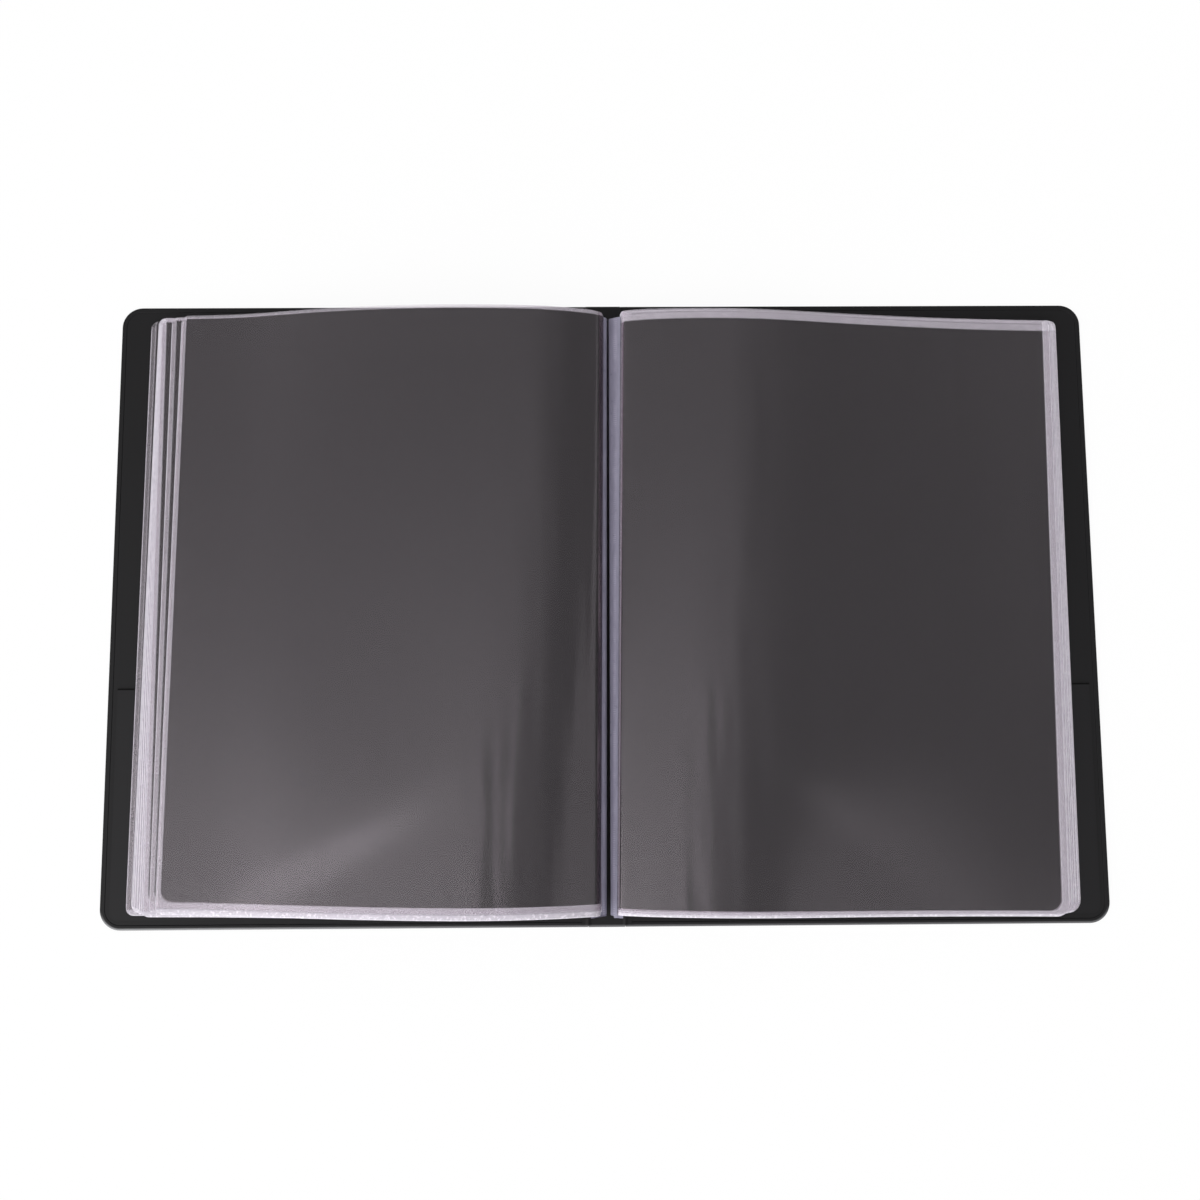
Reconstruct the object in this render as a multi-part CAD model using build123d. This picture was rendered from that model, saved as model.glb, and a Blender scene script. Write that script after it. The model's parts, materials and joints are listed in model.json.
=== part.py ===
from build123d import *
import math
import os

# Clear pocket display book, lying open at the middle. Millimetres.
# x runs across the open book, y up the page, z up from the table. The origin
# is on the table under the middle of the spine.

# cover
cover_width = 243.0
cover_height = 320.0
cover_corner = 10.5
spine_width = 18.5
skin_thickness = 0.6
board_thickness = 0.8
liner_thickness = 0.4
rim_width = 2.5
rim_round = 0.35
crease_gap = 0.1
layer_gap = 0.05
board_clearance = 0.6

# pocket inside each cover
inner_pocket_height = 115.0
inner_pocket_inset = 5.0
inner_pocket_weld = 4.0
inner_pocket_slot = 0.3
inner_pocket_film = 0.4

# leaves: a welded clear pocket with a black insert sheet
leaves_per_side = 10
leaf_width = 229.0
leaf_bottom = -154.5
leaf_height = 305.0
leaf_corner = 4.0
front_lip = 2.0
side_weld = 4.5
bottom_weld = 5.0
pocket_film = 0.1
pocket_slot = 0.35
insert_thickness = 0.25
insert_height = 297.0
insert_clearance = 0.2
insert_corner = 6.0

# how the leaves are bound: each root sits a step up and a step in from the last,
# and the left leaves step in further, because the open book leans that way
first_root_x = 7.9
first_root_z = 12.6
left_step_in = 0.9
right_step_in = 0.3
root_step_up = 0.8
root_gap = 0.4
leaf_slope = 2.4

# welded roots on the spine, and the clear film that lines the gutter
block_gap = 0.45
left_block_start = 0.15
right_block_start = 3.4
gutter_film = 0.3
gutter_foot_inset = 0.45
gutter_head_gap = 0.8

os.makedirs("parts", exist_ok=True)

cover_top = skin_thickness + board_thickness + liner_thickness
crease_x = spine_width / 2
pocket_thickness = 2 * pocket_film + pocket_slot
last_root_z = first_root_z + (leaves_per_side - 1) * root_step_up


def plate(x0, x1, y0, y1, z0, z1, top_corner=0.0, bottom_corner=0.0):
    """Flat plate whose two corners on the +x side may be rounded."""
    face = Pos((x0 + x1) / 2, (y0 + y1) / 2, z0) * Rectangle(x1 - x0, y1 - y0)
    outer = face.vertices().sort_by(Axis.X)[-2:].sort_by(Axis.Y)
    if bottom_corner > 0:
        face = fillet(outer[0], bottom_corner)
        outer = face.vertices().sort_by(Axis.Y)
    if top_corner > 0:
        upper = [v for v in face.vertices() if abs(v.Y - y1) < 1e-6 and abs(v.X - x1) < 1e-6]
        face = fillet(upper, top_corner)
    return extrude(face, amount=z1 - z0, dir=(0, 0, 1))


def prism(points, y0, y1):
    """Solid with the outline of x, z points, running from y0 to y1."""
    outline = Polyline(*points, close=True)
    face = make_face(Plane((0, y1, 0), x_dir=(1, 0, 0), z_dir=(0, -1, 0)) * outline)
    return extrude(face, amount=y1 - y0, dir=(0, -1, 0))


def save(node, solids, left=False):
    """Writes one node, mirrored across the spine for the left half."""
    placed = [mirror(s, about=Plane.YZ) for s in solids] if left else list(solids)
    shape = placed[0] if len(placed) == 1 else Compound(children=placed)
    shape.label = node
    export_step(shape, "parts/" + node + ".step")


def cover_skin():
    """Outer sheet: a shallow tray whose welded rim closes over the board."""
    x0 = crease_x + crease_gap
    x1 = crease_x + cover_width
    half = cover_height / 2
    body = plate(x0, x1, -half, half, 0, cover_top, cover_corner, cover_corner)
    inside = plate(
        x0 + rim_width,
        x1 - rim_width,
        -half + rim_width,
        half - rim_width,
        skin_thickness,
        cover_top + 1,
        cover_corner - rim_width,
        cover_corner - rim_width,
    )
    tray = body - inside
    rim = [e for e in tray.edges() if abs(e.center().Z - cover_top) < 1e-6]
    outer = [e for e in rim if max(abs(e.center().X - crease_x - cover_width / 2) - cover_width / 2,
                                   abs(e.center().Y) - half) > -cover_corner * 0.35]
    kept = [e for e in outer if abs(e.center().X - x0) > 1e-3]
    return fillet(kept, rim_round)


def cover_board():
    """Stiffener sealed between the skin and the liner."""
    inset = rim_width + board_clearance
    return plate(
        crease_x + crease_gap + inset,
        crease_x + cover_width - inset,
        -cover_height / 2 + inset,
        cover_height / 2 - inset,
        skin_thickness + layer_gap,
        skin_thickness + board_thickness - layer_gap,
        cover_corner - rim_width,
        cover_corner - rim_width,
    )


def cover_liner():
    """Inner sheet, let into the rim."""
    inset = rim_width + 0.1
    return plate(
        crease_x + crease_gap + inset,
        crease_x + cover_width - inset,
        -cover_height / 2 + inset,
        cover_height / 2 - inset,
        skin_thickness + board_thickness,
        cover_top,
        cover_corner - inset,
        cover_corner - inset,
    )


def inner_pocket():
    """Half-height pocket welded to the liner on three sides, open at its top."""
    x0 = crease_x + inner_pocket_inset
    x1 = crease_x + cover_width - inner_pocket_inset
    y0 = -cover_height / 2 + inner_pocket_inset
    y1 = y0 + inner_pocket_height
    low = cover_top + 0.0
    mid = low + inner_pocket_slot
    high = mid + inner_pocket_film
    sheet = plate(x0, x1, y0, y1, mid, high, 0, cover_corner - inner_pocket_inset)
    foot = plate(x0, x1, y0, y0 + inner_pocket_weld, low, mid, 0, inner_pocket_weld * 0.9)
    spine_weld = plate(x0, x0 + inner_pocket_weld, y0 + inner_pocket_weld, y1, low, mid)
    edge_weld = plate(x1 - inner_pocket_weld, x1, y0 + inner_pocket_weld, y1, low, mid)
    return [sheet, foot, spine_weld, edge_weld]


def spine_plate(z0, z1, inset):
    half = cover_height / 2 - inset
    return plate(-crease_x + crease_gap + inset, crease_x - crease_gap - inset, -half, half, z0, z1)


def fall_rate(step_in):
    """How steeply the line of the roots falls towards the middle of the closed book."""
    return math.tan(math.atan2(step_in, root_step_up) + math.radians(leaf_slope))


def root_block(step_in, start_x):
    """Fused leaf roots: a half ridge whose inner slope leaves room for the closed leaves."""
    outer_x = first_root_x
    outer_z = first_root_z - block_gap
    fall = (outer_x - start_x) * fall_rate(step_in)
    outline = [
        (start_x, cover_top),
        (outer_x, cover_top),
        (outer_x, outer_z),
        (start_x, outer_z - fall),
    ]
    return prism(outline, leaf_bottom, leaf_bottom + leaf_height)


def gutter_strip(step_in, start_x):
    """Clear margin film from the foot of the gutter to the top leaf's root."""
    foot_x = start_x + gutter_foot_inset
    block_fall = (first_root_x - foot_x - gutter_film) * fall_rate(step_in)
    foot_z = first_root_z - block_gap - block_fall + 0.1
    head_x = first_root_x - (leaves_per_side - 1) * step_in - gutter_head_gap
    head_z = last_root_z
    run = math.hypot(head_x - foot_x, head_z - foot_z)
    across_x = (head_z - foot_z) / run * gutter_film
    across_z = (head_x - foot_x) / run * gutter_film
    outline = [
        (foot_x, foot_z + across_z),
        (foot_x + across_x, foot_z),
        (head_x + across_x, head_z),
        (head_x, head_z + across_z),
    ]
    return prism(outline, leaf_bottom + 1.0, leaf_bottom + leaf_height - front_lip)


def place_leaf(solid, number, step_in):
    """Turns a leaf laid flat from x = 0 to its slope and moves it to its own root."""
    root_x = first_root_x - number * step_in
    root_z = first_root_z + number * root_step_up
    return Pos(root_x, 0, root_z) * Rot(0, leaf_slope, 0) * solid


def pocket_solids():
    """Front film, back film and the three welds of one pocket, laid flat."""
    x0 = root_gap
    x1 = root_gap + leaf_width
    y0 = leaf_bottom
    y1 = leaf_bottom + leaf_height
    low = -pocket_thickness / 2
    high = pocket_thickness / 2
    back = plate(x0, x1, y0, y1, low, low + pocket_film, leaf_corner, leaf_corner)
    front = plate(x0, x1, y0, y1 - front_lip, high - pocket_film, high, leaf_corner, leaf_corner)
    inner = plate(x0, x0 + side_weld, y0, y1 - front_lip, low + pocket_film, high - pocket_film)
    outer = plate(x1 - side_weld, x1, y0 + bottom_weld, y1 - front_lip,
                  low + pocket_film, high - pocket_film, leaf_corner, 0)
    foot = plate(x0 + side_weld, x1, y0, y0 + bottom_weld,
                 low + pocket_film, high - pocket_film, 0, leaf_corner)
    return [back, front, inner, outer, foot]


def insert_sheet():
    """Black sheet that slides into a pocket from its top."""
    x0 = root_gap + side_weld + insert_clearance
    x1 = root_gap + leaf_width - side_weld - insert_clearance
    y0 = leaf_bottom + bottom_weld + insert_clearance
    half = insert_thickness / 2
    return plate(x0, x1, y0, y0 + insert_height, -half, half, 0, insert_corner)


skin = cover_skin()
board = cover_board()
liner = cover_liner()
loose_pocket = inner_pocket()
for cover, is_left in (("front", True), ("back", False)):
    save(cover + "_cover_skin", [skin], is_left)
    save(cover + "_cover_board", [board], is_left)
    save(cover + "_cover_liner", [liner], is_left)
    save(cover + "_inner_pocket", loose_pocket, is_left)

save("spine_skin", [spine_plate(0, skin_thickness, 0)])
save("spine_board", [spine_plate(skin_thickness, skin_thickness + board_thickness, rim_width)])
save("spine_liner", [spine_plate(skin_thickness + board_thickness, cover_top, 0)])

flat_pocket = pocket_solids()
flat_insert = insert_sheet()
for side, is_left, step_in, start_x in (
    ("left", True, left_step_in, left_block_start),
    ("right", False, right_step_in, right_block_start),
):
    save(side + "_root_block", [root_block(step_in, start_x)], is_left)
    save(side + "_gutter_film", [gutter_strip(step_in, start_x)], is_left)
    for number in range(leaves_per_side):
        tag = "%02d" % (number + 1)
        pocket = [place_leaf(s, number, step_in) for s in flat_pocket]
        save(side + "_pocket_" + tag, pocket, is_left)
        save(side + "_insert_" + tag, [place_leaf(flat_insert, number, step_in)], is_left)
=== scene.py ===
import json
import math

import bpy
import numpy as np
from mathutils import Matrix, Vector


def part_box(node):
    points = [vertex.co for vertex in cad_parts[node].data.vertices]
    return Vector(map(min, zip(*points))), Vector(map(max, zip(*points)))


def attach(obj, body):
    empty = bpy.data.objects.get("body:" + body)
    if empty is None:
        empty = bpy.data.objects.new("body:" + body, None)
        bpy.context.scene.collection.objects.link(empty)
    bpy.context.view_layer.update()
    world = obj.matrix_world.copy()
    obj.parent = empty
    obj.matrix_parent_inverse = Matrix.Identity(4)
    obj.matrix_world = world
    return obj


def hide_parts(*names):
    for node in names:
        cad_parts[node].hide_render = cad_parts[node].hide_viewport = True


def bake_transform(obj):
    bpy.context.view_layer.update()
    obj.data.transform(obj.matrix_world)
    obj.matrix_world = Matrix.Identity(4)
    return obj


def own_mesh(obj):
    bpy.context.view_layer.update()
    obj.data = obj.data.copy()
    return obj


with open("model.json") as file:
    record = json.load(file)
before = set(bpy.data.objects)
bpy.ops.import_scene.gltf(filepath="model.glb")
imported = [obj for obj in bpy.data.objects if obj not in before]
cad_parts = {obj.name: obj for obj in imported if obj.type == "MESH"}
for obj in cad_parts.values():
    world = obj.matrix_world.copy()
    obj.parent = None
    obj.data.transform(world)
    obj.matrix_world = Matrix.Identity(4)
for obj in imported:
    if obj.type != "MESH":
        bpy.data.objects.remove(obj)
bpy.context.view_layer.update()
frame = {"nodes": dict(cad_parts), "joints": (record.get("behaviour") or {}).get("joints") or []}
nodes = frame["nodes"]
joints = {joint["name"]: joint for joint in frame["joints"]}
mm = 0.001
bpy.context.scene.view_settings.view_transform = "Standard"
print("frame loaded with", len(nodes), "nodes")


# shader maths: a wire is a socket in a node tree, and sums of wires add Math nodes
class Wire:
    def __init__(self, tree, socket=None):
        self.tree = tree
        self.socket = socket

    def add(self, kind, settings=None, sockets=None, out=0):
        node = self.tree.nodes.new("ShaderNode" + kind)
        for name, value in (settings or {}).items():
            setattr(node, name, value)
        for name, value in (sockets or {}).items():
            self.plug(node.inputs[name], value)
        return Wire(self.tree, node.outputs[out])

    def plug(self, target, value):
        if isinstance(value, Wire):
            self.tree.links.new(value.socket, target)
        else:
            target.default_value = value

    def maths(self, operation, first, second=0.0):
        return self.add("Math", {"operation": operation}, {0: first, 1: second})

    def __add__(self, other):
        return self.maths("ADD", self, other)

    def __radd__(self, other):
        return self.maths("ADD", other, self)

    def __sub__(self, other):
        return self.maths("SUBTRACT", self, other)

    def __rsub__(self, other):
        return self.maths("SUBTRACT", other, self)

    def __mul__(self, other):
        return self.maths("MULTIPLY", self, other)

    def __rmul__(self, other):
        return self.maths("MULTIPLY", other, self)

    def __truediv__(self, other):
        return self.maths("DIVIDE", self, other)

    def __pow__(self, other):
        return self.maths("POWER", self, other)

    def larger(self, other):
        return self.maths("MAXIMUM", self, other)

    def wave(self, pitch):
        return self.maths("SINE", self * (2 * math.pi / pitch))

    def rise(self, low, high):
        sockets = {"Value": self, "From Min": low, "From Max": high}
        return self.add("MapRange", {"interpolation_type": "SMOOTHSTEP"}, sockets)

    def part(self, index):
        return self.add("SeparateXYZ", None, {0: self}, index)

    def stretch(self, scale):
        return self.add("Mapping", None, {"Vector": self, "Scale": scale})

    def noise(self, scale, detail=3.0, rough=0.55):
        sockets = {"Vector": self, "Scale": scale, "Detail": detail, "Roughness": rough}
        return self.add("TexNoise", None, sockets)

    def between(self, first, second):
        first, second = (c if isinstance(c, Wire) else (*c, 1) for c in (first, second))
        return self.add("Mix", {"data_type": "RGBA"}, {0: self, 6: first, 7: second}, 2)

    def bump(self, strength, distance):
        return self.add("Bump", None, {"Height": self, "Strength": strength, "Distance": distance})


def newFinish(name):
    finish = bpy.data.materials.new(name)
    finish.use_nodes = True
    finish.node_tree.nodes.clear()
    return finish, Wire(finish.node_tree)


def showFinish(wire, shader):
    end = wire.tree.nodes.new("ShaderNodeOutputMaterial")
    wire.plug(end.inputs["Surface"], shader)


def dress(item, finish):
    item.data.materials.clear()
    item.data.materials.append(finish)


# the last colour is a painted highlight, the sheen on the cover's lower rim
vinyl = {"dark": (0.005, 0.0047, 0.0053), "pale": (0.0085, 0.008, 0.009), "rough": 0.44,
         "rimSheen": (0.34, 0.34, 0.35)}
# mouth is the width of the painted shade line along the pocket's open edge
pocketVinyl = {"dark": (0.007, 0.0066, 0.0075), "pale": (0.0108, 0.0102, 0.0115), "rough": 0.39,
               "mouth": 0.0009}
coverOutline = {"halfWidth": 0.25225, "halfHeight": 0.16, "corner": 0.0105}  # metres


def vinylFinish(name, look):
    finish, wire = newFinish(name)
    place = wire.add("TexCoord", None, None, 3)
    grain = place.noise(1500, 4)
    pebble = place.noise(420, 3)
    cloud = place.noise(9, 3)
    rubbed = place.noise(60, 5).rise(0.56, 0.74)
    tone = (cloud * 0.6 + grain * 0.4).between(look["dark"], look["pale"])
    if "rimSheen" in look:  # a painted highlight: a pale sheen line on the lower rim where its rounded edge catches the light, strongest to the left
        left = 0 - place.part(0)
        down = 0 - place.part(1)
        corner = coverOutline["corner"]
        past = (left.maths("ABSOLUTE", left) - (coverOutline["halfWidth"] - corner)).larger(0.0)
        under = (down - (coverOutline["halfHeight"] - corner)).larger(0.0)
        rim = ((past * past + under * under) ** 0.5).rise(corner - 0.0014, corner - 0.0004)
        rim = rim * down.rise(0.15, 0.158) * place.part(2).rise(0.0011, 0.0016)
        tone = (rim * (0.4 + left.rise(0.0, 0.2) * 0.5)).between(tone, look["rimSheen"])
    rough = look["rough"] + grain * 0.1 - rubbed * 0.07
    if "mouth" in look:  # painted shade: a dark line along the pocket's open edge
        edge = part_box("front_inner_pocket")[1].y - look["mouth"]
        line = place.part(1).rise(edge, edge + look["mouth"] * 0.3)
        tone = line.between(tone, (0.0005, 0.0005, 0.0006))
        rough = rough + line * 0.5
    normal = (grain * 0.6 + pebble * 0.6).bump(0.22, 0.00012)
    shader = wire.add("BsdfPrincipled", None, {
        "Base Color": tone,
        "Roughness": rough,
        "Specular IOR Level": 0.2,
        "Normal": normal,
    })
    showFinish(wire, shader)
    return finish


greyBoard = {"dark": (0.26, 0.235, 0.2), "pale": (0.4, 0.37, 0.32)}


def boardFinish():
    finish, wire = newFinish("greyBoard")
    place = wire.add("TexCoord", None, None, 3)
    pulp = place.noise(240, 6, 0.7)
    fleck = place.noise(900, 2).rise(0.6, 0.72)
    shader = wire.add("BsdfPrincipled", None, {
        "Base Color": (pulp - fleck * 0.3).between(greyBoard["dark"], greyBoard["pale"]),
        "Roughness": 0.82 + pulp * 0.12,
        "Normal": pulp.bump(0.3, 0.0001),
    })
    showFinish(wire, shader)
    return finish


leafSize = {"width": 229.0, "height": 305.0, "lip": 2.0}
film = {
    "shine": (1.0, 0.91, 0.98), "milk": (0.98, 0.94, 1.0), "shade": (0.8, 0.765, 0.85), "haze": 0.004,
    "rough": 0.1, "index": 1.47, "windowCorner": 5.5, "flutes": 7.0,
}


def filmFinish(name, footWeld, sideWeld, mouthFrom):
    finish, wire = newFinish(name)
    place = wire.add("TexCoord", None, None, 3)
    spot = wire.add("UVMap", {"uv_map": "leafMap"})
    across = spot.part(0) * leafSize["width"]
    along = spot.part(1) * leafSize["height"]
    fromEdge = leafSize["width"] - across
    streak = place.stretch((1.0, 0.04, 1.0)).noise(260, 2)
    crinkle = place.noise(330, 3, 0.65)
    flutes = place.stretch((1.0, 0.12, 1.0)).noise(70, 1) * (1 - across.rise(55, 105))  # along the fold
    # painted glints: bright specks where the crinkled weld catches the light, in the foot's milk and the
    # cloudy colour
    glint = place.stretch((1.0, 1.0, 0.3)).noise(700, 2).rise(0.52, 0.66)
    corner = film["windowCorner"]
    past = (across - (leafSize["width"] - sideWeld - corner)).larger(0.0)
    under = (footWeld + corner - along).larger(0.0)
    beyond = (past * past + under * under) ** 0.5 - corner  # millimetres outside the pocket's window
    weld = beyond.rise(-0.15, 0.2).larger(1 - across.rise(1.3, 1.9))
    bead = beyond.rise(-0.45, 0.0) * (1 - beyond.rise(0.15, 0.8))
    # painted highlight: a bright line along the film's cut outer side and bottom edges
    cutEdgeHighlight = (1 - fromEdge.rise(0.2, 0.6)).larger(1 - along.rise(0.3, 0.7))
    footRim = 1 - along.rise(footWeld * 0.35, footWeld * 0.6)
    mouth = along.rise(mouthFrom - 0.4, mouthFrom + 0.2)
    ribs = fromEdge.wave(0.62) * 0.03 + 0.03
    own = wire.add("Attribute", {"attribute_name": "milkiness"}, None, 2)
    milk = (weld * (0.1 + crinkle * 0.14 + ribs) + mouth * (0.12 + crinkle * 0.14)) * own
    milk = milk + bead * 0.1 + cutEdgeHighlight * 0.28 + footRim * (0.3 + glint * 0.16)
    speck = place.noise(1900, 1).rise(0.8, 0.83)
    milk = milk + film["haze"] + streak * 0.005 + speck * 0.1
    normal = (crinkle * weld * 1.4 + streak * 0.1 + flutes * film["flutes"]).bump(0.45, 0.00022)
    gloss = wire.add("BsdfPrincipled", None, {
        "Base Color": (*film["shine"], 1), "Metallic": 1.0,
        "Roughness": film["rough"] + streak * 0.05 + weld * 0.12, "Normal": normal,
    })
    clear = wire.add("BsdfTransparent", None, {"Color": (0.985, 0.98, 0.985, 1)})
    glance = wire.add("Fresnel", None, {"IOR": film["index"]})
    clearFilm = wire.add("MixShader", None, {0: glance, 1: clear, 2: gloss})
    cloudy = wire.add("BsdfPrincipled", None, {
        "Base Color": (crinkle * 0.7 + glint * 0.3).between(film["shade"], film["milk"]),
        "Roughness": 0.3 + crinkle * 0.2,
        "Normal": normal,
    })
    showFinish(wire, wire.add("MixShader", None, {0: milk, 1: clearFilm, 2: cloudy}))
    return finish


paper = {"dark": (0.0108, 0.0102, 0.0106), "pale": (0.0168, 0.0158, 0.0164)}


def paperFinish():
    finish, wire = newFinish("blackPaper")
    place = wire.add("TexCoord", None, None, 3)
    fibre = place.noise(620, 6, 0.7)
    cloud = place.noise(26, 3)
    shader = wire.add("BsdfPrincipled", None, {
        "Base Color": (fibre * 0.15 + cloud * 0.5 + 0.2).between(paper["dark"], paper["pale"]),
        "Roughness": 0.66 + fibre * 0.1,
        "Specular IOR Level": 0.25,
        "Normal": fibre.bump(0.08, 0.00005),
    })
    showFinish(wire, shader)
    return finish


weldedFilm = {"dark": (0.16, 0.15, 0.21), "pale": (0.36, 0.34, 0.45)}
gutterFilm = {"dark": (0.17, 0.16, 0.22), "pale": (0.43, 0.41, 0.52)}
# marks of the sealing bar; glow lightens the gutter film's colour on the teeth, a painted highlight on
# their ridges
teeth = {"pitch": 1.1, "height": 0.12, "from": 0.4, "to": 0.78, "soft": 0.1, "glow": 0.45}


def weldedFinish(name, look, clearness, ladder=0.0):
    finish, wire = newFinish(name)
    place = wire.add("TexCoord", None, None, 3)
    ripple = place.stretch((1.0, 0.15, 1.0)).noise(420, 4)
    crinkle = place.noise(300, 4, 0.6)
    spot = wire.add("UVMap", {"uv_map": "leafMap"})
    across = spot.part(0)
    tooth = (spot.part(1) * leafSize["height"]).wave(teeth["pitch"]).rise(-0.3, 0.6)
    tooth = tooth * across.rise(teeth["from"], teeth["from"] + teeth["soft"])
    tooth = tooth * (1 - across.rise(teeth["to"] - teeth["soft"], teeth["to"]))
    # the teeth are real marks; their lighter tone here is a painted highlight on the ridges
    tone = ripple * 0.6 + crinkle * 0.4 + tooth * place.noise(90, 2).rise(0.35, 0.6) * ladder
    milky = wire.add("BsdfPrincipled", None, {
        "Base Color": tone.between(look["dark"], look["pale"]),
        "Roughness": 0.2 + crinkle * 0.22,
        "Normal": (ripple + crinkle * 0.6).bump(0.3, 0.0002),
    })
    clear = wire.add("BsdfTransparent", None, {"Color": (0.95, 0.94, 0.97, 1)})
    show = 1 - clearness * (0.7 + crinkle * 0.5)
    showFinish(wire, wire.add("MixShader", None, {0: show, 1: clear, 2: milky}))
    return finish


coverVinyl = vinylFinish("coverVinyl", vinyl)
innerVinyl = vinylFinish("innerPocketVinyl", pocketVinyl)
boardGrey = boardFinish()
blackPaper = paperFinish()
rootWeld = weldedFinish("rootWeld", weldedFilm, clearness=0.15)
gutterWeld = weldedFinish("gutterWeld", gutterFilm, clearness=0.2, ladder=teeth["glow"])
clearFilms = {
    "left": filmFinish("clearFilmLeft", footWeld=5.8, sideWeld=2.5, mouthFrom=303.2),
    "right": filmFinish("clearFilmRight", footWeld=2.7, sideWeld=3.7, mouthFrom=300.0),
}
print("finishes made:", len(bpy.data.materials))

for name, node in nodes.items():
    if name.endswith("_skin") or name.endswith("_liner"):
        dress(node, coverVinyl)
    elif name.endswith("_inner_pocket"):
        dress(node, innerVinyl)
    elif name.endswith("_board"):
        dress(node, boardGrey)
    elif name.endswith("_root_block"):
        dress(node, rootWeld)


def onlySelect(item):
    bpy.ops.object.select_all(action="DESELECT")
    item.select_set(True)
    bpy.context.view_layer.objects.active = item


def applyModifier(item, kind, **settings):
    onlySelect(item)
    modifier = item.modifiers.new(kind.title(), kind)
    for name, value in settings.items():
        setattr(modifier, name, value)
    bpy.ops.object.modifier_apply(modifier=modifier.name)


def gridSheet(name, across, along):
    bpy.ops.object.select_all(action="DESELECT")
    bpy.ops.mesh.primitive_grid_add(x_subdivisions=across, y_subdivisions=along, size=1)
    item = bpy.context.object
    item.name = name
    item.data.name = name
    spots = np.empty(len(item.data.vertices) * 3)
    item.data.vertices.foreach_get("co", spots)
    spots = spots.reshape(-1, 3) + 0.5
    return item, spots[:, 0], spots[:, 1]


def crowd(share, amount):  # draws the grid lines towards both ends
    return share - amount * np.sin(2 * np.pi * share) / (2 * np.pi)


def ease(value, low, high):
    share = np.clip((value - low) / (high - low), 0, 1)
    return share * share * (3 - 2 * share)


def shapeSheet(item, places, u, v):
    item.data.vertices.foreach_set("co", (places * mm).ravel())
    corner = np.empty(len(item.data.loops), int)
    item.data.loops.foreach_get("vertex_index", corner)
    layer = item.data.uv_layers.active
    layer.name = "leafMap"
    flat = np.stack([u[corner] / leafSize["width"], v[corner] / leafSize["height"]], 1)
    layer.data.foreach_set("uv", flat.ravel())
    item.data.update()


def roundCorner(u, v, edgeU, edgeV, radius):  # pulls a square grid corner on to an arc
    alongU = 1 if edgeU > 50 else -1
    alongV = 1 if edgeV > 50 else -1
    outU = (u - edgeU) * alongU + radius
    outV = (v - edgeV) * alongV + radius
    inside = (outU > 0) & (outV > 0)
    reach = np.maximum(outU, outV)
    pull = np.where(inside, reach / np.maximum(np.hypot(outU, outV), 1e-9), 1.0)
    u = np.where(inside, edgeU + alongU * (outU * pull - radius), u)
    v = np.where(inside, edgeV + alongV * (outV * pull - radius), v)
    return u, v


def smoothLine(points, count=700):  # even points on a natural cubic through a few marks
    marks = np.array(points, float)
    run = np.concatenate([[0], np.cumsum(np.hypot(*np.diff(marks, axis=0).T))])
    step = np.diff(run)
    size = len(run)
    grid = np.eye(size)
    pull = np.zeros((size, 2))
    for i in range(1, size - 1):
        grid[i, i - 1:i + 2] = step[i - 1], 2 * (step[i - 1] + step[i]), step[i]
        pull[i] = 6 * ((marks[i + 1] - marks[i]) / step[i] - (marks[i] - marks[i - 1]) / step[i - 1])
    curve = np.linalg.solve(grid, pull)
    at = np.linspace(0, run[-1], count)
    i = np.clip(np.searchsorted(run, at) - 1, 0, size - 2)
    h = step[i][:, None]
    a = (run[i + 1] - at)[:, None] / h
    b = 1 - a
    line = a * marks[i] + b * marks[i + 1]
    line += ((a ** 3 - a) * curve[i] + (b ** 3 - b) * curve[i + 1]) * h * h / 6
    length = np.concatenate([[0], np.cumsum(np.hypot(*np.diff(line, axis=0).T))])
    even = np.linspace(0, length[-1], count)
    return np.stack([np.interp(even, length, line[:, 0]), np.interp(even, length, line[:, 1])], 1)


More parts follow.
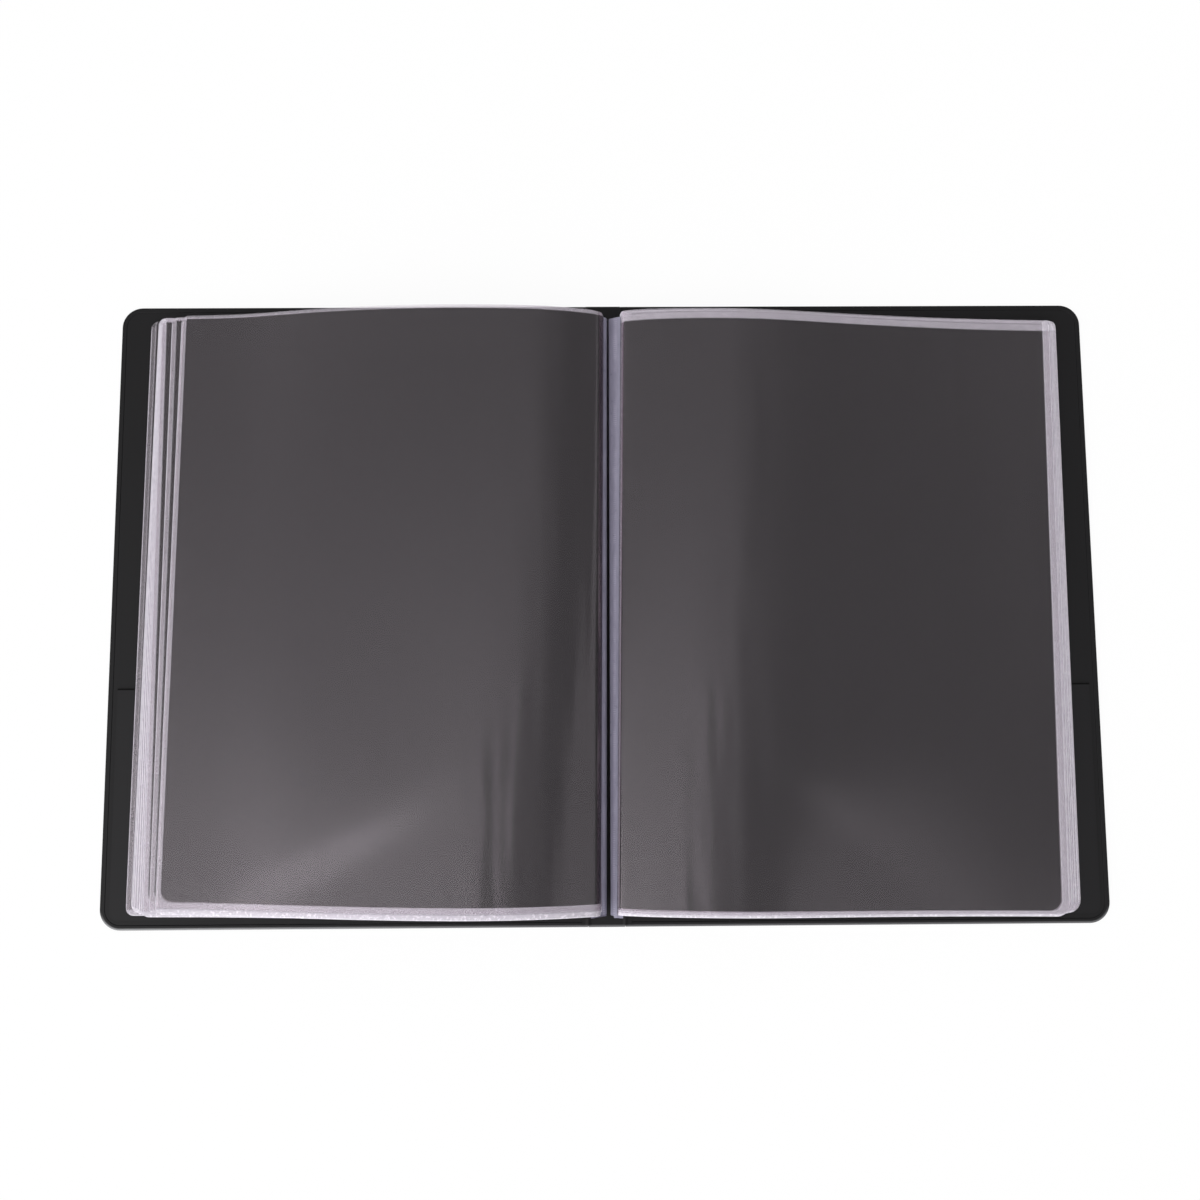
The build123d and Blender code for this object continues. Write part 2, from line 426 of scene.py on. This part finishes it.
# top and base are marks on the top and the lowest leaf, in millimetres out from the spine and up
# from the table; edges say how far out the top and the bottom of each leaf reach, margins how much
# film there is beyond each sheet, milk how cloudy its weld is and shift how far up it sits; the
# sheets start above sheetFoot and beyond sheetFrom in the top pocket, lowerFoot and lowerFrom below
leafPages = {
    "left": {
        "sign": -1, "cover": "front_cover_hinge", "foot": -152.6, "corner": 4.0, "topCorner": 4.0,
        "top": [(1.6, 13.0), (1.8, 15.2), (2.7, 18.0), (5, 20.0), (9, 21.4), (15, 23.5), (24, 25.9),
                (34, 27.5), (46, 28.3), (62, 28.6), (80, 28.3), (115, 25.4), (155, 18.6), (188, 11.4),
                (221, 8.0)],
        "base": [(7.8, 11.4), (9.5, 12.6), (14, 13.5), (26, 13.0), (52, 9.8), (88, 5.4),
                 (122, 3.4), (160, 2.95), (238, 2.95)],
        "edges": [(236.7, 238.7), (232.9, 235.8), (232.3, 235.0), (231.8, 234.0), (231.3, 232.6),
                  (230.8, 231.2), (230.3, 230.0), (229.8, 229.0), (224.5, 225.7), (219.5, 222.4)],
        "margins": [2.5, 4.5, 5.5, 5.0, 4.4, 3.8, 3.0, 2.3, 2.2, 2.7],
        "milk": [0.15, 1.3, 1.5, 1.4, 1.3, 1.2, 1.0, 0.7, 0.6, 0.7],
        "shift": [-0.9, 0.3, 0.2, 0.1, 0.3, 0, -0.2, 0.1, 0.1, 0],
        "skew": -0.05, "footLift": 1.1,
        "sheetFoot": 6.1, "lowerFoot": 6.1, "sheetFrom": 1.9, "lowerFrom": 6.5,
    },
    "right": {
        "sign": 1, "cover": "back_cover_hinge", "foot": -154.3, "corner": 6.5, "topCorner": 2.6,
        "top": [(7.2, 13.1), (8.6, 14.7), (10.8, 15.9), (14, 16.9), (20, 18.4), (34, 20.6), (50, 21.8),
                (66, 22.1), (82, 21.1), (120, 16.0), (165, 10.7), (200, 8.4), (231.8, 7.7)],
        "base": [(7.8, 11.6), (9.5, 12.3), (14, 12.3), (26, 11.0), (52, 7.8), (88, 4.7),
                 (122, 3.4), (160, 2.95), (238, 2.95)],
        "edges": [(239.0, 237.2), (238.6, 236.5), (237.8, 235.9), (237.5, 234.8), (236.8, 234.2),
                  (236.4, 233.1), (235.8, 232.2), (235.4, 231.6), (234.6, 230.6), (233.6, 229.9)],
        "margins": [7.6, 7.3, 6.6, 6.4, 5.8, 5.5, 4.9, 4.7, 4.2, 3.9],
        "milk": [0.9, 1.1, 1.2, 1.0, 1.2, 1.1, 1.0, 1.1, 0.9, 1.0],
        "shift": [0.4, 1.0, 0.7, 1.1, 0.6, 0.9, 1.2, 0.7, 1.0, 0],
        "skew": -0.15, "footLift": 0.0,
        "sheetFoot": 3.1, "lowerFoot": 6.15, "sheetFrom": 1.9, "lowerFrom": 6.5,
    },
}
filmMesh = {
    "half": 0.045, "gap": 0.08, "topGap": 0.32, "gape": 0.45, "gapeRun": 26, "thick": 0.06,
    "topThick": 0.08, "grid": (64, 40), "topGrid": (120, 110),
}
sheetMesh = {
    "height": 297.0, "corner": 6.0, "thick": 0.14, "topThick": 0.2, "grid": (56, 36),
    "topGrid": (110, 100),
}
edgeCrowd = {"across": 0.93, "along": 0.9}
foldRipple = {"pitch": 15.0, "height": 0.035}  # runs along the fold
leafCount = 10
edgeRun = 265.0  # between the two heights at which the edges are given

# soft waves in the top pages: place, heading in degrees, half length, width of the rise, height
waves = {
    "left": [(131, 33, -28, 58, 9, 2.0)],
    "right": [(106, 56, -37, 58, 9, 0.95)],
}
waveFade = 95.0  # behind the rise


def wave(side, u, v):
    total = np.zeros_like(u)
    for atU, atV, heading, halfLength, width, height in waves[side]:
        turn = math.radians(heading)
        run = (u - atU) * math.cos(turn) + (v - atV) * math.sin(turn)
        off = (v - atV) * math.cos(turn) - (u - atU) * math.sin(turn)
        step = 0.5 + 0.5 * np.tanh(off / width)
        total += height * step * np.exp(-(run / halfLength) ** 2 - (np.maximum(off, 0) / waveFade) ** 2)
    ripple = np.sin(2 * np.pi * u / foldRipple["pitch"] + 0.008 * v)
    return total + foldRipple["height"] * ripple * ease(u, 8, 20) * (1 - ease(u, 50, 75))


def leafPlaces(side, number, u, v, lift, turn, foot, skew=0.0):
    page = leafPages[side]
    midU, midV = leafSize["width"] / 2, leafSize["height"] / 2
    c, s = math.cos(math.radians(skew)), math.sin(math.radians(skew)) * page["sign"]
    u, v = midU + (u - midU) * c - (v - midV) * s, midV + (u - midU) * s + (v - midV) * c
    rank = (number - 1) / (leafCount - 1)
    line = smoothLine(page["base"]) * (1 - rank) + smoothLine(page["top"]) * rank
    reach = sum(page["edges"][number - 1]) / 2
    start = line[0, 0]
    line[:, 0] = start + (line[:, 0] - start) * (reach - start) / (line[-1, 0] - start)
    share = np.linspace(0, leafSize["width"], len(line))
    slope = np.gradient(line, axis=0)
    slope /= np.hypot(slope[:, 0], slope[:, 1])[:, None]
    x = np.interp(u, share, line[:, 0])
    z = np.interp(u, share, line[:, 1])
    lift = lift + wave(side, u, v) * rank ** 3
    x = x - lift * np.interp(u, share, slope[:, 1])
    z = z + lift * np.interp(u, share, slope[:, 0])
    x = x * page["sign"]
    y = foot + v + page["footLift"] * (1 - ease(u, 0, 80)) * (1 - ease(v, 0, 70))
    middle = page["sign"] * leafSize["width"] / 2
    c, s = math.cos(math.radians(turn)), math.sin(math.radians(turn))
    return np.stack([middle + (x - middle) * c - y * s, (x - middle) * s + y * c, z], 1)


def leafTurn(side, number):
    page = leafPages[side]
    top, bottom = page["edges"][number - 1]
    return math.degrees(math.atan2((bottom - top) * page["sign"], edgeRun))


def filmSheet(name, side, number, front):
    fine = number == leafCount
    item, a, b = gridSheet(name, *filmMesh["topGrid" if fine else "grid"])
    height = leafSize["height"] - (leafSize["lip"] if front else 0)
    u = crowd(a, edgeCrowd["across"]) * leafSize["width"]
    v = crowd(b, edgeCrowd["along"]) * height
    page = leafPages[side]
    u, v = roundCorner(u, v, leafSize["width"], 0, page["corner"])
    u, v = roundCorner(u, v, leafSize["width"], height, page["topCorner"])
    edge = np.minimum(np.minimum(u, leafSize["width"] - u), v)
    lift = filmMesh["half"] + filmMesh["topGap" if fine and front else "gap"] * ease(edge, 0.2, 1.6)
    if fine and front:  # the mouth of the top pocket gapes a little
        gape = filmMesh["gape"] * ease(v, height - filmMesh["gapeRun"], height)
        lift = lift + gape * np.sin(np.pi * u / leafSize["width"]) ** 2
    turn = leafTurn(side, number)
    foot = page["foot"] + page["shift"][number - 1]
    places = leafPlaces(side, number, u, v, lift if front else -lift, turn, foot)
    shapeSheet(item, places, u, v)
    cloudy = item.data.attributes.new("milkiness", "FLOAT", "POINT")
    cloudy.data.foreach_set("value", np.full(len(u), page["milk"][number - 1]))
    applyModifier(item, "SOLIDIFY", thickness=filmMesh["topThick" if fine else "thick"] * mm, offset=0.0)
    return item


def insertSheet(name, side, number):
    fine = number == leafCount
    page = leafPages[side]
    item, a, b = gridSheet(name, *sheetMesh["topGrid" if fine else "grid"])
    start = page["sheetFrom" if fine else "lowerFrom"]
    width = leafSize["width"] - page["margins"][number - 1] - start
    u = crowd(a, edgeCrowd["across"]) * width
    v = crowd(b, edgeCrowd["along"]) * sheetMesh["height"]
    u, v = roundCorner(u, v, width, 0, sheetMesh["corner"])
    u = u + start
    v = v + page["sheetFoot" if fine else "lowerFoot"]
    skew = page["skew"] if fine else 0.0
    foot = page["foot"] + page["shift"][number - 1]
    places = leafPlaces(side, number, u, v, np.zeros_like(u), leafTurn(side, number), foot, skew)
    shapeSheet(item, places, u, v)
    applyModifier(item, "SOLIDIFY", thickness=sheetMesh["topThick" if fine else "thick"] * mm, offset=0.0)
    return item


def smoothShade(item):
    onlySelect(item)
    bpy.ops.object.shade_smooth_by_angle(angle=math.radians(40))


def flattenWith(item):  # gives the item its own mesh; the arch stays as it is
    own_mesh(item)


for side in leafPages:
    for number in range(1, leafCount + 1):
        tag = f"{number:02d}"
        front = filmSheet(f"{side}Pocket{tag}", side, number, True)
        back = filmSheet(f"{side}PocketBack{tag}", side, number, False)
        onlySelect(front)
        back.select_set(True)
        bpy.ops.object.join()
        dress(front, clearFilms[side])
        smoothShade(front)
        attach(front, f"{side}_leaf_{tag}")
        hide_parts(f"{side}_pocket_{tag}")
        flattenWith(front)
        sheet = insertSheet(f"{side}Insert{tag}", side, number)
        dress(sheet, blackPaper)
        smoothShade(sheet)
        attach(sheet, f"{side}_sheet_{tag}")
        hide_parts(f"{side}_insert_{tag}")
        flattenWith(sheet)
    print("leaves made on the", side)


# clear margin film down each side of the gutter, with the teeth of the sealing bar; the head of
# each strip leans with the top page, and marks run from the foot to the head
gutters = {
    "left": {"line": [(-0.95, 9.2), (-0.5, 10.5), (0.4, 11.9), (1.5, 13.1)], "lean": (0.0077, 0.0109),
             "sign": -1, "cover": "front_cover_hinge", "shutAt": -0.2, "foot": -152.6, "top": 150.4},
    "right": {"line": [(2.5, 10.0), (3.3, 11.0), (4.6, 12.2), (7.0, 14.0)], "lean": (0.004, 0.0138),
              "sign": 1, "cover": "back_cover_hinge", "shutAt": 0.1, "foot": -153.2, "top": 150.2},
}
gutterThick = 0.25


def gutterStrip(side):
    look = gutters[side]
    item, a, b = gridSheet(side + "GutterStrip", 16, 1120)
    line = smoothLine(look["line"], 200)
    at = a * (len(line) - 1)
    index = np.arange(len(line))
    slope = np.gradient(line, axis=0)
    slope /= np.hypot(slope[:, 0], slope[:, 1])[:, None]
    y = look["foot"] + b * (look["top"] - look["foot"])
    tooth = ease(np.sin(2 * np.pi * b * leafSize["height"] / teeth["pitch"]), -0.3, 0.6)
    tooth = tooth * ease(a, teeth["from"], teeth["from"] + teeth["soft"])
    lift = teeth["height"] * tooth * (1 - ease(a, teeth["to"] - teeth["soft"], teeth["to"]))
    x = np.interp(at, index, line[:, 0]) - lift * np.interp(at, index, slope[:, 1])
    z = np.interp(at, index, line[:, 1]) + lift * np.interp(at, index, slope[:, 0])
    x = look["sign"] * x + y * (look["lean"][0] * (1 - a) + look["lean"][1] * a)
    shapeSheet(item, np.stack([x, y, z], 1), a * leafSize["width"], b * leafSize["height"])
    applyModifier(item, "SOLIDIFY", thickness=gutterThick * mm, offset=0.0)
    dress(item, gutterWeld)
    smoothShade(item)
    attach(item, "spine")
    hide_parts(side + "_gutter_film")
    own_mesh(item)
    return item


for side in gutters:
    gutterStrip(side)
print("gutter strips made")

# soft vinyl that bridges each crease of the one-piece cover
crease = {
    "reach": 3.2, "inward": 1.2, "bead": 0.45, "beadWidth": 0.8, "clear": 0.02, "thick": 0.3,
    "inset": 0.6, "bend": 1.0,
}


def creaseStrip(side, cover):
    low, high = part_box("spine_liner")
    sign = -1 if side == "left" else 1
    item, a, b = gridSheet(side + "Crease", 24, 60)
    middle = abs(joints[cover + "_hinge"]["pos_m"][0]) / mm
    off = (a - 0.5) * 2 * crease["reach"]
    x = middle + np.maximum(off, -crease["inward"])
    y = low.y / mm + crease["inset"] + b * (high.y - low.y - 2 * crease["inset"] * mm) / mm
    z = high.z / mm + crease["thick"] / 2 + crease["clear"]
    z = z + crease["bead"] * np.exp(-(off / crease["beadWidth"]) ** 2)
    shapeSheet(item, np.stack([sign * x, y, z], 1), a * 10, b * 10)
    applyModifier(item, "SOLIDIFY", thickness=crease["thick"] * mm, offset=0.0)
    dress(item, coverVinyl)
    smoothShade(item)
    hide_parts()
    at = sign * middle * mm
    half = sign * crease["bend"] / 2 * mm
    at - half
    at + half
    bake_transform(item)
    return item


creaseStrip("left", "front_cover")
creaseStrip("right", "back_cover")
print("creases made")

# camera fitted to the edges of the cover and of the two top sheets
camera = {"place": (-8.7, -70.9, 639.4), "tilt": -6.73, "roll": -4.49, "yaw": 4.83, "focal": 1250 / 1200}


def makeCamera():
    data = bpy.data.cameras.new("bookCamera")
    data.sensor_width = 36
    data.lens = 36 * camera["focal"]
    item = bpy.data.objects.new("bookCamera", data)
    bpy.context.scene.collection.objects.link(item)
    look = Matrix.Rotation(math.radians(camera["roll"]), 3, "Z")
    look = look @ Matrix.Rotation(math.radians(camera["tilt"]), 3, "X")
    look = look @ Matrix.Rotation(math.radians(camera["yaw"]), 3, "Z")
    item.matrix_world = Matrix.Translation(Vector(camera["place"]) * mm) @ look.transposed().to_4x4()
    bpy.context.scene.camera = item


softboxes = {
    "frontLeft": {"place": (-0.9, -0.9, 1.1), "size": (0.6, 0.6), "glow": 1.6},
}


def makeSoftbox(name, box):
    data = bpy.data.lights.new(name, "AREA")
    data.shape = "RECTANGLE"
    data.size, data.size_y = box["size"]
    data.energy = box["glow"] * math.pi * box["size"][0] * box["size"][1]
    item = bpy.data.objects.new(name, data)
    bpy.context.scene.collection.objects.link(item)
    item.location = box["place"]
    item.rotation_mode = "QUATERNION"
    item.rotation_quaternion = Vector(box["place"]).to_track_quat("Z", "Y")
    item.visible_camera = False


# the room as the pages mirror it: a big soft light over the left and front with one crisp edge, a
# dark ceiling to the right
studio = {
    "ceiling": 0.32, "overhead": 0.27, "front": 1.3, "lamp": 0.6, "rightWall": 0.4, "slant": 0.6,
    "wallSlant": 1.5, "falloff": (-0.14, 0.4), "shade": 0.88, "edge": (0.015, 0.035), "edgeShade": 0.5,
}


def makeWorld():
    world = bpy.data.worlds.new("studio")
    world.use_nodes = True
    tree = world.node_tree
    tree.nodes.clear()
    wire = Wire(tree)
    heading = wire.add("TexCoord")
    up = heading.part(2).larger(0.06)
    right = heading.part(0) / up
    back = heading.part(1) / up
    past = right - back * studio["slant"]
    lit = 1 - past.rise(*studio["falloff"]) * studio["shade"]
    edge = past.rise(*studio["edge"]) * (1 - back.rise(-0.03, 0.16))
    lit = lit * (1 - edge * studio["edgeShade"])
    front = 1 - back.rise(-0.25, 0.5)
    glow = studio["ceiling"] + lit * (studio["overhead"] + front * front * studio["front"])
    glow = glow + (1 - back.rise(-0.27, -0.13)) * (1 - right.rise(0.5, 1.0)) * studio["lamp"]
    low = right.rise(1.5, 2.6)
    wall = (right - back * studio["wallSlant"]).rise(0.55, 0.68) * (1 - low)
    glow = glow + wall * studio["rightWall"] - low * 0.25
    ray = wire.add("LightPath")
    glow = ray + (1 - ray) * glow
    shade = wire.add("Background", None, {"Color": (1, 1, 1, 1), "Strength": glow})
    end = tree.nodes.new("ShaderNodeOutputWorld")
    wire.plug(end.inputs["Surface"], shade)
    bpy.context.scene.world = world


def makeFloor():
    bpy.ops.object.select_all(action="DESELECT")
    bpy.ops.mesh.primitive_plane_add(size=6, location=(0, 0, -0.0002))
    floor = bpy.context.object
    floor.name = "paleFloor"
    finish, wire = newFinish("paleFloor")
    place = wire.add("TexCoord", None, None, 3)
    ray = wire.add("LightPath")
    tint = place.noise(3, 2).between((0.9, 0.9, 0.9), (0.93, 0.93, 0.93))
    matt = wire.add("BsdfPrincipled", None, {"Base Color": tint, "Roughness": 0.9})
    white = wire.add("Emission", None, {"Color": (1, 1, 1, 1), "Strength": 1.0})
    showFinish(wire, wire.add("MixShader", None, {0: ray * 0.92, 1: matt, 2: white}))
    dress(floor, finish)


makeCamera()
for name, box in softboxes.items():
    makeSoftbox(name, box)
makeWorld()
makeFloor()
bpy.context.scene.cycles.transparent_max_bounces = 24
print("camera, light and floor made")
